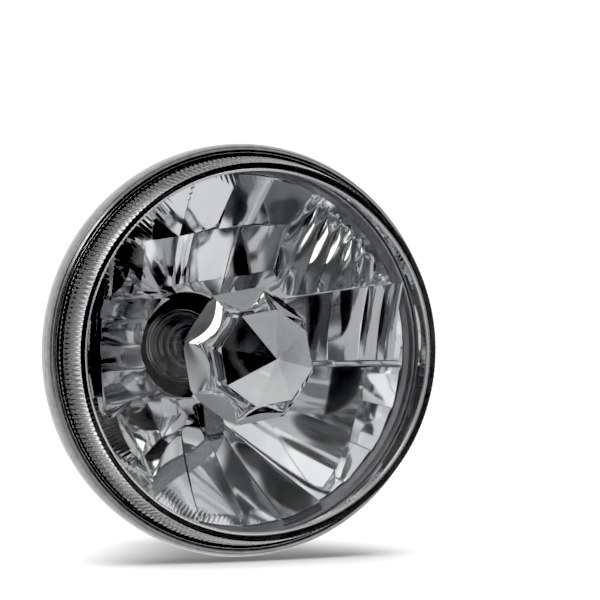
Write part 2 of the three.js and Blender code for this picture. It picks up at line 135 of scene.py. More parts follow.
def filleted(outline, radius, steps=4):
    """A closed outline with each corner replaced by an arc, where there is room for one."""
    result = []
    count = len(outline)
    for k, corner in enumerate(outline):
        here = Vector(corner)
        before = Vector(outline[k - 1]) - here
        after = Vector(outline[(k + 1) % count]) - here
        room = 0.45 * min(before.length, after.length)
        turn = before.angle(after)
        if here.x < 1e-6 or turn > math.radians(172) or room < 1e-6:
            result.append(tuple(here))
            continue
        reach = min(room, radius / math.tan(turn / 2))
        start = here + before.normalized() * reach
        end = here + after.normalized() * reach
        for i in range(steps + 1):
            t = i / steps
            point = start * (1 - t) ** 2 + here * 2 * t * (1 - t) + end * t ** 2
            result.append(tuple(point))
    return result


def ring_faces(rings, sides, closed=False):
    """Quads between rings of points that follow one another, and back to the first if closed."""
    faces = []
    for i in range(rings if closed else rings - 1):
        j = (i + 1) % rings
        for k in range(sides):
            n = (k + 1) % sides
            faces.append((i * sides + k, i * sides + n, j * sides + n, j * sides + k))
    return faces


def lathe(outline, sides, place=None):
    """Points and faces of a body turned about Y from (radius, depth); place moves each point."""
    verts = []
    for r, y in outline:
        for k in range(sides):
            angle = 2 * math.pi * k / sides
            verts.append(Vector((r * math.cos(angle), y, r * math.sin(angle))))
    if place is not None:
        verts = [place(v) for v in verts]
    return verts, ring_faces(len(outline), sides, closed=True)


def turned(name, outline, sides, material, slot, **options):
    """A piece turned about the lamp's axis, from a closed outline of (radius, depth)."""
    return piece(name, *lathe(outline, sides), material, slot, **options)


def joined(parts):
    """Several closed bodies as one list of points and faces."""
    verts, faces = [], []
    for part_verts, part_faces in parts:
        start = len(verts)
        verts += part_verts
        faces += [tuple(start + k for k in face) for face in part_faces]
    return verts, faces


def end_faces(total, sides):
    """The two flat ends of a body made of open rings."""
    return [tuple(range(sides)), tuple(range(total - sides, total))]


def smooth_path(points, steps):
    """A centripetal Catmull-Rom curve through points, with steps points to a stretch."""
    line = [Vector(p) for p in points]
    line = [line[0] * 2 - line[1]] + line + [line[-1] * 2 - line[-2]]
    path = []
    for k in range(1, len(line) - 2):
        p0, p1, p2, p3 = line[k - 1:k + 3]
        t1 = (p1 - p0).length ** 0.5
        t2 = t1 + (p2 - p1).length ** 0.5
        t3 = t2 + (p3 - p2).length ** 0.5
        last = k == len(line) - 3
        for i in range(steps + last):
            t = t1 + (t2 - t1) * i / steps
            a1 = p0 * ((t1 - t) / t1) + p1 * (t / t1)
            a2 = p1 * ((t2 - t) / (t2 - t1)) + p2 * ((t - t1) / (t2 - t1))
            a3 = p2 * ((t3 - t) / (t3 - t2)) + p3 * ((t - t2) / (t3 - t2))
            b1 = a1 * ((t2 - t) / t2) + a2 * (t / t2)
            b2 = a2 * ((t3 - t) / (t3 - t1)) + a3 * ((t - t1) / (t3 - t1))
            path.append(b1 * ((t2 - t) / (t2 - t1)) + b2 * ((t - t1) / (t2 - t1)))
    return path


def directions(path):
    """The direction of travel at each point of a path."""
    last = len(path) - 1
    return [(path[min(k + 1, last)] - path[max(k - 1, 0)]).normalized() for k in range(last + 1)]


def tube(points, radius, steps=6, sides=14):
    """A round wire along a smooth curve through points, with domed ends."""
    path = smooth_path(points, steps)
    ways = directions(path)
    side = ways[0].orthogonal().normalized()
    rings = []
    for k, point in enumerate(path):
        side = (side - ways[k] * side.dot(ways[k])).normalized()
        rings.append((point, side, ways[k].cross(side), radius))
    for index, sign in ((0, -1), (-1, 1)):
        point, u, w, _ = rings[index]
        caps = [(point + ways[index] * sign * radius * d, u, w, radius * r)
                for d, r in ((0.45, 0.87), (0.8, 0.55), (0.95, 0.2))]
        rings = list(reversed(caps)) + rings if sign < 0 else rings + caps
    verts = []
    for point, u, w, r in rings:
        for k in range(sides):
            angle = 2 * math.pi * k / sides
            verts.append(point + u * (r * math.cos(angle)) + w * (r * math.sin(angle)))
    return verts, end_faces(len(verts), sides) + ring_faces(len(rings), sides)


def extruded(outline, start, end, place, inset):
    """A straight body from a closed outline, with its two end edges eased by an inset."""
    middle = Vector((sum(p[0] for p in outline), sum(p[1] for p in outline))) / len(outline)

    def shrunk(point):
        away = Vector(point) - middle
        return middle + away * max(1 - inset / max(away.length, 1e-6), 0)

    small = [shrunk(p) for p in outline]
    layers = [(small, start), (outline, start + inset), (outline, end - inset), (small, end)]
    verts = [place(p[0], p[1], t) for ring, t in layers for p in ring]
    count = len(outline)
    return verts, end_faces(len(verts), count) + ring_faces(len(layers), count)


def holed_plate(outline, hole, hole_r, thick, place, steps=48):
    """A thin plate with one round hole, its edges slightly eased."""

    def on_outline(angle):
        way = Vector((math.cos(angle), math.sin(angle)))
        best = None
        for k, p in enumerate(outline):
            a = Vector(p) - Vector(hole)
            b = Vector(outline[(k + 1) % len(outline)]) - Vector(hole)
            edge = b - a
            cross = way.x * edge.y - way.y * edge.x
            if abs(cross) < 1e-9:
                continue
            t = (a.x * edge.y - a.y * edge.x) / cross
            s = (a.x * way.y - a.y * way.x) / cross
            if t > 0 and -1e-6 <= s <= 1 + 1e-6 and (best is None or t > best):
                best = t
        return way * best

    def eased(p, amount):
        return p * (1 - amount / p.length)

    corners = [math.atan2(p[1] - hole[1], p[0] - hole[0]) for p in outline]
    angles = sorted(set([round(2 * math.pi * k / steps - math.pi, 6) for k in range(steps)]
                        + [round(c, 6) for c in corners]))
    outer = [on_outline(a) for a in angles]
    inner = [Vector((math.cos(a), math.sin(a))) * hole_r for a in angles]
    ease = 0.12
    centre = Vector(hole)
    layers = [(inner, 0, -ease), (outer, 0, ease), (outer, ease, 0), (outer, thick - ease, 0),
              (outer, thick, ease), (inner, thick, -ease), (inner, thick - ease, 0),
              (inner, ease, 0)]
    verts = []
    for ring, depth, amount in layers:
        for p in ring:
            q = eased(p, amount) + centre
            verts.append(place(q.x, q.y, depth))
    return verts, ring_faces(len(layers), len(angles), closed=True)


def upright(x, y, t):
    """Places an outline drawn in X and Y, with its thickness along Z."""
    return (x, y, t)


def facing(x, z, t):
    """Places an outline drawn in X and Z, with its thickness along Y."""
    return (x, t, z)


def sector(r0, r1, y0, y1, half, degrees, steps=8):
    """A closed block between two radii, centred on an angle."""
    outline = [(r0, -half), (r0, half)]
    spread_angle = math.asin(half / r1)
    outline += [(r1 * math.cos(spread_angle * (1 - 2 * k / steps)),
                 r1 * math.sin(spread_angle * (1 - 2 * k / steps))) for k in range(steps + 1)]
    angle = math.radians(degrees)
    turned_outline = [(x * math.cos(angle) - z * math.sin(angle),
                       x * math.sin(angle) + z * math.cos(angle)) for x, z in outline]
    return extruded(turned_outline, y0, y1, facing, 0.12)


# ---- Materials ----

def principled(name, colour, metallic, roughness):
    """A new material with its node tree and its shader."""
    material = bpy.data.materials.new(name)
    material.use_nodes = True
    shader = material.node_tree.nodes["Principled BSDF"]
    shader.inputs["Base Color"].default_value = (*colour, 1)
    shader.inputs["Metallic"].default_value = metallic
    shader.inputs["Roughness"].default_value = roughness
    return material, material.node_tree, shader


def add_node(tree, kind, inputs, **settings):
    """A new shader node. inputs: for each input, a value to set or a socket to link."""
    node = tree.nodes.new("ShaderNode" + kind)
    for name, value in settings.items():
        setattr(node, name, value)
    for key, value in inputs.items():
        if isinstance(value, bpy.types.NodeSocket):
            tree.links.new(value, node.inputs[key])
        else:
            node.inputs[key].default_value = value
    return node


def grain(tree, scale):
    """Noise in object space, in cycles per metre."""
    where = add_node(tree, "TexCoord", {}).outputs["Object"]
    noise = add_node(tree, "TexNoise", {"Scale": scale, "Detail": 4.0, "Vector": where})
    return noise.outputs["Fac"]


def spread(tree, source, lowest, highest):
    """The noise value stretched over a range."""
    scale = add_node(tree, "MapRange", {"From Min": 0.3, "From Max": 0.7, "To Min": lowest,
                                        "To Max": highest, "Value": source})
    return scale.outputs["Result"]


def bump(tree, shader, source, distance):
    """Relief of a given height in metres."""
    node = add_node(tree, "Bump", {"Strength": 1.0, "Distance": distance, "Height": source})
    tree.links.new(node.outputs["Normal"], shader.inputs["Normal"])


def tinted(tree, shader, source, dark, light):
    """Base colour that wanders between two greys or colours."""
    ramp = add_node(tree, "ValToRGB", {"Fac": source})
    for end, position, colour in ((0, 0.35, dark), (1, 0.65, light)):
        ramp.color_ramp.elements[end].position = position
        ramp.color_ramp.elements[end].color = (*colour, 1)
    tree.links.new(ramp.outputs["Color"], shader.inputs["Base Color"])


def grained(name, dark, light, metallic, rough, depth, grain_scale, drift_scale):
    """A surface with a fine grain in its shine and relief, and a slow drift in its colour."""
    material, tree, shader = principled(name, light, metallic, rough[0])
    noise = grain(tree, grain_scale)
    tinted(tree, shader, grain(tree, drift_scale), dark, light)
    tree.links.new(spread(tree, noise, *rough), shader.inputs["Roughness"])
    bump(tree, shader, noise, depth)
    return material, shader


def metal(name, dark, light, rough, depth=5e-7):
    """Plated or bare metal."""
    return grained(name, dark, light, 1.0, rough, depth, 900, 260)[0]


def plastic(name, dark, light, rough, depth=2e-5, grain_scale=1500, shine=0.3):
    """Plastic, rubber, fibre or frosted quartz."""
    material, shader = grained(name, dark, light, 0.0, rough, depth, grain_scale, 240)
    shader.inputs["Specular IOR Level"].default_value = shine
    return material


def mirror(name, colour, rough):
    """Vacuum-coated brightwork: nearly perfect, with a faint haze."""
    material, tree, shader = principled(name, colour, 1.0, rough[0])
    tree.links.new(spread(tree, grain(tree, 140), *rough), shader.inputs["Roughness"])
    return material


def switched(tree, ray, usual, other):
    """Shows one kind of ray another shader than the usual one."""
    kind = add_node(tree, "LightPath", {}).outputs[ray]
    mix = add_node(tree, "MixShader", {"Fac": kind, 1: usual.outputs[0], 2: other.outputs[0]})
    tree.links.new(mix.outputs["Shader"], tree.nodes["Material Output"].inputs["Surface"])


def clear_glass(name, colour):
    """Glass that bends what is seen through it and lets lamp light pass."""
    material, tree, shader = principled(name, colour, 0.0, 0.0)
    shader.inputs["Transmission Weight"].default_value = 1.0
    shader.inputs["IOR"].default_value = 1.5
    switched(tree, "Is Shadow Ray", shader, add_node(tree, "BsdfTransparent", {}))
    return material


MIRROR = mirror("bowl_mirror", (0.94, 0.945, 0.95), (0.03, 0.06))
CHROME = mirror("shield_chrome", (0.86, 0.865, 0.87), (0.01, 0.03))
RIM_STEEL = metal("rim_steel", (0.3, 0.3, 0.303), (0.37, 0.37, 0.374), (0.18, 0.26))
BACK_STEEL = metal("bowl_back", (0.33, 0.33, 0.335), (0.38, 0.38, 0.385), (0.36, 0.42),
                   depth=1.5e-7)
PLATED = metal("plated_steel", (0.42, 0.42, 0.43), (0.5, 0.5, 0.51), (0.2, 0.28), depth=1.5e-7)
WIRE = metal("spring_wire", (0.34, 0.34, 0.35), (0.46, 0.46, 0.47), (0.2, 0.32))
BULB_METAL = metal("bulb_metal", (0.26, 0.26, 0.265), (0.32, 0.32, 0.325), (0.08, 0.14), depth=1e-7)
BLADE = metal("blade_tin", (0.6, 0.6, 0.59), (0.7, 0.7, 0.69), (0.25, 0.4))
TUNGSTEN = metal("tungsten", (0.12, 0.12, 0.125), (0.2, 0.2, 0.21), (0.35, 0.5))
HOLDER = plastic("holder_black", (0.004, 0.004, 0.0045), (0.009, 0.009, 0.01), (0.35, 0.42), 2e-6,
                 shine=0.15)
INSULATOR = plastic("insulator_black", (0.015, 0.015, 0.016), (0.03, 0.03, 0.032), (0.4, 0.55))
BOOT = plastic("boot_rubber", (0.026, 0.026, 0.027), (0.04, 0.04, 0.041), (0.55, 0.7), 2e-5)
SEALANT = plastic("sealant", (0.07, 0.07, 0.07), (0.1, 0.1, 0.1), (0.5, 0.6), 2e-5, 700)
GASKET = plastic("gasket", (0.03, 0.03, 0.031), (0.05, 0.05, 0.052), (0.8, 0.95), 5e-5, 900)
STEM = plastic("pressed_quartz", (0.42, 0.43, 0.43), (0.58, 0.59, 0.6), (0.15, 0.4), 2e-5, 500)
LEAD = metal("lead_wire", (0.4, 0.4, 0.39), (0.52, 0.52, 0.51), (0.25, 0.4))
TIP_COAT = plastic("tip_coat", (0.02, 0.02, 0.022), (0.035, 0.035, 0.037), (0.35, 0.5))
LENS_GLASS = clear_glass("lens_glass", (0.985, 0.99, 0.99))
BULB_GLASS = clear_glass("bulb_glass", (0.985, 0.99, 1.0))


# ---- Rim, seal and lens ----

def rim():
    """The clamping rim: two beads round a channel for the lens, and three lugs behind."""
    outline = [(76.0, 0), (76.2, -1.0), (77.6, -3.4), (78.2, -6.2), (79.0, -6.6), (79.0, -3.0),
               (84.6, -3.0), (84.6, -9.2), (85.2, RIM_FRONT), (86.3, RIM_FRONT), (86.9, -9.0),
               (87.0, -8.4), (87.6, -8.2), (88.5, -6.6), (RIM_R, -4.0), (RIM_R, 0)]
    parts = [lathe(filleted(outline, 0.5), 256)]
    for degrees in LUG_ANGLES:
        parts.append(sector(80.2, 87.0, -1.0, LUG_REAR, 6.0, degrees))
    piece("clamp_rim", *joined(parts), RIM_STEEL, "rim_steel", "rim")


def collar():
    """The bright collar inside the lens's skirt: shallow steps that catch the light as rings."""
    outline = [(79.3, -7.0), (79.9, -7.0), (76.8, -24.1), (76.2, -24.1), (75.9, -23.4),
               (76.2, -22.4), (76.7, -21.8), (76.8, -17.2), (77.2, -16.4), (78.2, -14.6),
               (78.3, -11.4), (78.6, -10.8), (78.9, -10.2), (79.0, -8.6)]
    turned("reflector_collar_ring", filleted(outline, 0.5, 3), 256, MIRROR, "reflector",
           node="reflector_collar")


def dome(edge_r, rise, tip, steps=16):
    """Part of a sphere, as (radius, depth) from its tip to its edge."""
    sphere_r = (edge_r ** 2 + rise ** 2) / (2 * rise)
    radii = [edge_r * k / steps for k in range(steps + 1)]
    return [(r, tip + sphere_r - math.sqrt(sphere_r ** 2 - r ** 2)) for r in radii]


def lens_outline():
    """The skirt from its foot to the corner, then the dome's outer face and its inner one."""
    rise = LENS_CORNER - LENS_TIP
    skirt = [(LENS_R - LENS_WALL, LENS_FOOT), (LENS_R, LENS_FOOT)]
    skirt += [(LENS_R - 0.1 * k / 3, LENS_FOOT - 2.0 * k) for k in range(1, 4)]
    skirt += [(83.4 - 2.9 * k / 8, -13.5 - 13.2 * k / 8) for k in range(9)]
    outer = dome(LENS_CORNER_R, rise, LENS_TIP)
    inner = dome(LENS_CORNER_R - LENS_WALL, rise - 0.6, LENS_TIP + LENS_WALL)
    return skirt, list(reversed(outer)), inner


def lens():
    """The lens: its skirt carries fine flutes that end at the corner, where the dome starts."""
    skirt, outer, inner = lens_outline()
    per_flute = 8
    sides = FLUTES * per_flute
    outline = skirt + outer + inner
    last = len(skirt) - 1
    verts = []
    for i, (r, y) in enumerate(outline):
        fade = min(max((i - 3) / 2, 0), 1) if i <= last else 0.0  # flutes rise from the foot
        fade = 0.5 if i == last + 1 else fade
        for k in range(sides):
            wave = abs(math.sin(math.pi * k / per_flute))
            around = r - 0.42 * fade * (1 - wave)
            angle = 2 * math.pi * k / sides
            verts.append((around * math.cos(angle), y, around * math.sin(angle)))
    faces = ring_faces(len(outline), sides, closed=True)
    piece("fluted_lens", verts, faces, LENS_GLASS, "lens_glass", "lens", sharp=40)


def seal():
    outline = [(79.3, -3.3), (79.3, -6.4), (80.0, -6.4), (80.0, -6.7), (83.9, -6.7),
               (83.9, -8.8), (84.3, -8.8), (84.3, -3.3)]
    turned("lens_seal", filleted(outline, 0.15, 2), 200, SEALANT, "sealant", node="lens_sealant")


# ---- Reflector bowl ----

def bowl_depth(r):
    return BOWL_VERTEX - r * r / (4 * BOWL_FOCUS)


def bowl_shell():
    """The bowl's pressed shell. The mirror facets stand just in front of its inner face."""
    steps = 28
    radii = [BOWL_HOLE_R + (BOWL_EDGE_R - BOWL_HOLE_R) * k / steps for k in range(steps + 1)]

    def behind(r, distance):
        slope = r / (2 * BOWL_FOCUS)
        length = math.hypot(1, slope)
        return (r + distance * slope / length, bowl_depth(r) + distance / length)

    inside = [behind(r, FACET_T + 0.1) for r in radii]
    lip = bowl_depth(BOWL_EDGE_R)
    edge = [(BOWL_LIP_R, inside[-1][1]), (BOWL_LIP_R, lip + 1.5), (77.3, lip + 1.5)]
    back = [behind(r, BOWL_WALL) for r in reversed(radii[1:-1])]
    neck = [(25.6, back[-1][1] + 0.8), (25.6, 76.0), (33.0, 76.0), (33.0, BOWL_REAR)]
    bottom = [(BOWL_HOLE_R, BOWL_REAR), (BOWL_HOLE_R, inside[0][1] + 0.4)]
    obj = turned("bowl_shell", inside + edge + back + neck + bottom, 192, BACK_STEEL, "reflector",
                 node="reflector")
    obj.data.materials.append(MIRROR)
    for polygon in obj.data.polygons:
        middle = polygon.center / MM
        r = math.hypot(middle.x, middle.z)
        facing_front = polygon.normal.y < -0.1
        if facing_front and r < BOWL_EDGE_R and middle.y < 74:
            polygon.material_index = 1


def edge_points(start, end, steps, through=None):
    """Points from start to end: an arc on the rim or the bulb's hole, else a line or a bow."""
    start, end = Vector(start), Vector(end)
    same = abs(start.length - end.length) < 0.6
    if same and (start.length > 73 or start.length < 25.5):
        first = math.atan2(start.y, start.x)
        sweep = math.atan2(end.y, end.x) - first
        sweep = (sweep + math.pi) % (2 * math.pi) - math.pi
        return [Vector((math.cos(first + sweep * t / steps), math.sin(first + sweep * t / steps)))
                * start.length for t in range(steps + 1)]
    if through is not None:
        bend = Vector(through) * 2 - (start + end) / 2
        return [start * (1 - t / steps) ** 2 + bend * 2 * (t / steps) * (1 - t / steps)
                + end * (t / steps) ** 2 for t in range(steps + 1)]
    return [start.lerp(end, t / steps) for t in range(steps + 1)]


def tile_back(x, z):
    """The back of a facet: the bowl's face moved outwards by the facets' thickness."""
    r = math.hypot(x, z)
    slope = 1 / math.hypot(1, r / (2 * BOWL_FOCUS))
    out = r / (2 * BOWL_FOCUS) * slope * FACET_T / r
    return (x + x * out, bowl_depth(r) + FACET_T * slope, z + z * out)


def tile_faces(n, m):
    """Faces of a closed tile: a front grid of n by m cells, the same grid behind, and a border."""
    size = (n + 1) * (m + 1)
    faces = []
    for j in range(m):
        for i in range(n):
            k = j * (n + 1) + i
            quad = (k, k + 1, k + n + 2, k + n + 1)
            faces.append(quad)
            faces.append(tuple(size + q for q in reversed(quad)))
    border = list(range(n + 1))
    border += [j * (n + 1) + n for j in range(1, m + 1)]
    border += [m * (n + 1) + i for i in range(n - 1, -1, -1)]
    border += [j * (n + 1) for j in range(m - 1, 0, -1)]
    for k, p in enumerate(border):
        q = border[(k + 1) % len(border)]
        faces.append((p, size + p, size + q, q))
    return faces


def facet(corners, tilt, lift, bulge, flat, cells, bows=None, crown=0.0):
    """One mirror facet as a closed tile.

    corners: lower left, lower right, upper right and upper left, as (x, z) on the bowl.
    tilt: added slopes of the depth to the right and upwards. lift: how far it stands forward.
    bulge: height of a rounded rib along the facet's height. flat: 1 for a flat face, 0 for the
    bowl's own curve. cells: divisions across and up. bows: a point that a side bends through.
    crown: how much of the rib's top is rounded off.
    """
    n, m = cells
    bows = bows or {}
    a, b, c, d = corners
    bottom = edge_points(a, b, n, bows.get("bottom"))
    top = edge_points(d, c, n, bows.get("top"))
    left = edge_points(a, d, m, bows.get("left"))
    right = edge_points(b, c, m, bows.get("right"))
    a, b, c, d = (Vector(p) for p in corners)
    middle = (a + b + c + d) / 4
    depths = [bowl_depth(p.length) for p in (a, b, c, d)]
    grid = []
    for j in range(m + 1):
        v = j / m
        for i in range(n + 1):
            u = i / n
            point = (bottom[i] * (1 - v) + top[i] * v + left[j] * (1 - u) + right[j] * u
                     - a * (1 - u) * (1 - v) - b * u * (1 - v) - c * u * v - d * (1 - u) * v)
            point = middle + (point - middle) * (1 - 0.08 / max((point - middle).length, 1))
            curved = bowl_depth(point.length)
            chord = (depths[0] * (1 - u) * (1 - v) + depths[1] * u * (1 - v)
                     + depths[2] * u * v + depths[3] * (1 - u) * v)
            depth = flat * min(chord, curved) + (1 - flat) * curved
            depth += tilt[0] * (point.x - middle.x) + tilt[1] * (point.y - middle.y)
            across = 1 - (2 * u - 1) ** 2
            past = max((v - 1 + crown) / crown, 0) if crown else 0  # share of the rounded top
            depth -= bulge * across * math.sqrt(max(1 - past ** 2, 0))
            grid.append((point.x, depth, point.y))
    behind = max(y - bowl_depth(math.hypot(x, z)) for x, y, z in grid)
    front = [(x, y - max(behind, 0) - lift, z) for x, y, z in grid]
    return front + [tile_back(x, z) for x, _, z in grid], tile_faces(n, m)


def polar(degrees, r=FACETS_R):
    """A point at an angle and a radius, by default on the outer edge of the facets."""
    return (r * math.cos(math.radians(degrees)), r * math.sin(math.radians(degrees)))


def facet_row(feet, heads, looks, flat, cells):
    """Facets side by side between two lines of corners, each with its (tilt, lift, bulge)."""
    return [facet([feet[k], feet[k + 1], heads[k + 1], heads[k]], *look, flat, cells)
            for k, look in enumerate(looks)]


COLUMN_FEET = [(-45.2, 21.6), (-26.2, 25.2), (-9.6, 27.2), (-3.4, 28.4), (14.3, 30.5), (32.7, 34.6)]


def upper_rows():
    """Two rows of columns above the bulb."""
    tops = [polar(a) for a in (142, 119.5, 106, 90.4, 78, 63.5)]
    seam = [(-52.5, 46.0), (-28.5, 47.6), (-14.3, 49.6), (3.4, 52.8), (17.4, 55.2), (31.4, 54.3)]
    row_a = [((0.0, -0.06), 0.2, 0.3), ((-0.05, 0.03), 0.5, 0.4), ((0.06, -0.03), 0.2, 0.5),
             ((0.03, 0.07), 0.6, 0.5), ((-0.05, 0.02), 0.3, 0.6)]
    heads = [(-52.5, 46.0), (-32.4, 47.2), (-14.3, 49.6), (-6.8, 51.0), (11.4, 54.0), (31.4, 54.3)]
    row_b = [((0.04, -0.03), 0.8, 0.5), ((-0.03, 0.04), 0.5, 0.4), ((0.07, 0.02), 0.8, 0.3),
             ((-0.03, -0.05), 0.5, 0.4), ((0.03, 0.03), 0.9, 0.5)]
    return (facet_row(seam, tops, row_a, 0.55, (10, 10))
            + facet_row(COLUMN_FEET, heads, row_b, 0.55, (10, 10)))


def collar_facets():
    """Short facets between the columns and the bulb's hole."""
    hole = [polar(a, BOWL_HOLE_R + 0.6) for a in (150, 124, 104, 84, 56, 34)]
    looks = [((0.02, 0.04), 0.2, 0.0), ((0, -0.05), 0.5, 0.2), ((0.05, 0), 0.3, 0.2),
             ((-0.04, 0.05), 0.6, 0.2), ((0.03, -0.06), 0.4, 0.2)]
    return facet_row(hole, COLUMN_FEET, looks, 0.5, (8, 6))


def flute_facets():
    """Seven upright ribs with rounded tops, standing on a slanting ledge."""
    lines = [32.0, 38.2, 43.9, 49.4, 54.9, 60.3, 65.6, 70.6]

    def ledge(x):
        return 34.6 - 1.95 * (x - 32.7) if x < 39.4 else 21.4 + 0.236 * (x - 39.4)

    def roof(x):
        return math.sqrt(73.6 ** 2 - x * x)

    tiles = []
    for k, (x0, x1) in enumerate(zip(lines, lines[1:])):
        slant = 0.06 * (k - 3)
        low0, low1 = (x0 + 0.4, ledge(x0 + 0.4)), (x1, ledge(x1))
        high0, high1 = (x0 - 0.6, roof(x0) - 1.0), (x1 - 0.6, roof(x1) - 1.0)
        peak = ((x0 + x1) / 2 - 0.3, roof((x0 + x1) / 2) + 0.6)
        tiles.append(facet([low0, low1, high1, high0], (slant, 0.0), 0.5, 0.34, 0.5, (12, 20),
                           {"top": peak}, 0.14))
    return tiles


def right_facets():
    """The panel below the flutes, and its bright foot."""
    lines = [26.0, 39.4, 54.6, 63.6, 69.0, 73.2]
    looks = [((0.0, 0.02), 0.2, 0.3), ((0.05, 0.04), 0.5, 0.5), ((-0.06, -0.03), 0.9, 0.4),
             ((0.10, 0.0), 0.4, 0.5), ((-0.05, 0.03), 0.8, 0.3)]

    def head(x):
        return 17.0 + 4.4 * (x - 26.0) / 13.4 if x < 39.4 else 21.0 + 0.236 * (x - 39.4)

    def foot(x):
        return -8.6 + 0.065 * (x - 26)

    tiles = facet_row([(x, foot(x)) for x in lines], [(x, head(x)) for x in lines], looks, 0.6,
                      (10, 12))
    tiles.append(facet([(38.0, -9.4), (73.8, -7.2), (73.4, -5.8), (38.0, -8.1)],
                       (0, -0.9), 0.8, 0.0, 1.0, (12, 3)))
    return tiles


def lower_facets():
    """The smooth lower right sector with its outer band, and the strips at the bottom."""
    tiles = []
    band = [(65.6, -9.0), (63.0, -23.8), (55.4, -41.4), (45.6, -56.2), (40.4, -61.0)]
    edge = [polar(a) for a in (-6.6, -20.5, -36.5, -50.5, -56.0)]
    for k in range(4):
        tiles.append(facet([band[k + 1], edge[k + 1], edge[k], band[k]],
                           (0.10, 0.06), 0.3, 0.3, 0.3, (6, 10)))
    shapes = [
        ([(36.6, -60.4), (40.4, -61.0), (65.0, -9.4), (26.0, -9.4)],
         (0, 0), 0.0, 0.0, 0.0, (20, 20), {"right": (59.8, -35.4)}),
        ([polar(-61.5), polar(-56.0), (36.6, -60.4), (11.2, -33.8)],
         (0.05, 0.0), 0.5, 0.2, 0.5, (8, 12)),
        ([polar(-75.5), polar(-61.5), (11.2, -33.8), (8.0, -28.0)],
         (-0.05, 0.06), 0.2, 0.0, 0.3, (10, 12)),
        ([polar(-87.0), polar(-75.5), (14.2, -37.8), (4.0, -37.8)],
         (0.0, 0.03), 0.6, 0.0, 0.4, (8, 12)),
    ]
    return tiles + [facet(*shape) for shape in shapes]


def left_facets():
    """Low steps beside the bulb, the zigzag ledge and the smooth lower left sector."""
    tiles = []
    levels = [21.6, 12.5, 0.5, -10.5, -20.6]
    outer = -50.0

    def across(radius, z):
        return -math.sqrt(radius ** 2 - z ** 2)

    for k, (top, bottom) in enumerate(zip(levels, levels[1:])):
        tiles.append(facet([(outer, bottom - 6.0 * (k == 3)), (across(24.7, bottom) - 0.1, bottom),
                            (across(24.7, top) - 0.1, top), (outer, top)],
                           (-0.3 + 0.04 * k, 0.05), 0.2 + 0.2 * (k % 2), 0.3, 0.6, (12, 6)))
        rim_top = Vector((across(FACETS_R, top), top))
        rim_bottom = Vector((across(FACETS_R, bottom), bottom))
        for i, (s, e) in enumerate(((0.0, 0.35), (0.35, 0.7), (0.7, 1.0))):
            a = Vector((outer, bottom)).lerp(rim_bottom, e)
            b = Vector((outer, bottom)).lerp(rim_bottom, s)
            c = Vector((outer, top)).lerp(rim_top, s)
            d = Vector((outer, top)).lerp(rim_top, e)
            tiles.append(facet([a, b, c, d], (0.05 - 0.05 * i, 0.02), 0.2 + 0.3 * ((i + k) % 2),
                               0.3, 0.5, (6, 6)))
    shapes = [
        ([polar(163.35), (-58.5, 21.8), (-56.0, 46.2), polar(142.0)],
         (0.04, 0.0), 0.2, 0.2, 0.5, (8, 8)),
        ([(-58.3, 21.8), (-45.4, 21.8), (-52.7, 46.0), (-55.8, 46.2)],
         (-0.04, 0.0), 0.2, 0.2, 0.5, (8, 8)),
        ([polar(-153.0), (-41.6, -28.6), (-26.0, -21.2), (-50.0, -26.8)],
         (0, 0.1), 0.2, 0.0, 0.5, (8, 6)),
        ([(-33.8, -54.8), (-41.6, -40.0), (-41.3, -28.9), polar(-153.0)],
         (0.0, 0.0), 0.1, 0.0, 0.3, (8, 8)),
        ([(-33.6, -46.8), (-19.5, -40.4), (-26.0, -21.4), (-41.2, -28.9)],
         (0.06, 0.03), 1.0, 0.0, 0.9, (8, 8)),
        ([(-19.5, -40.4), (-7.9, -38.0), (-3.8, -30.4), (-20.7, -33.2)],
         (-0.1, 0.05), 0.9, 0.0, 0.9, (8, 6), {"right": (-4.9, -34.4)}),
        ([(-33.8, -54.6), (-16.7, -43.2), (-19.5, -40.6), (-33.8, -46.9)],
         (0.0, 0.12), 0.5, 0.0, 0.9, (8, 5)),
        ([polar(-121.0), polar(-104.0), (-7.9, -38.2), (-33.8, -54.8)],
         (0.0, 0.0), 0.2, 0.0, 0.2, (10, 10), {"top": (-18.2, -44.4)}),
        ([polar(-104.0), polar(-87.2), (3.8, -33.0), (-7.7, -38.0)],
         (0.03, 0.0), 0.5, 0.0, 0.3, (8, 10)),
    ]
    return tiles + [facet(*shape) for shape in shapes]


def bowl_facets():
    """All the mirror facets as one piece."""
    tiles = (upper_rows() + collar_facets() + flute_facets() + right_facets() + lower_facets()
             + left_facets())
    piece("bowl_facets", *joined(tiles), MIRROR, "reflector", sharp=25)


# ---- Bulb shield ----

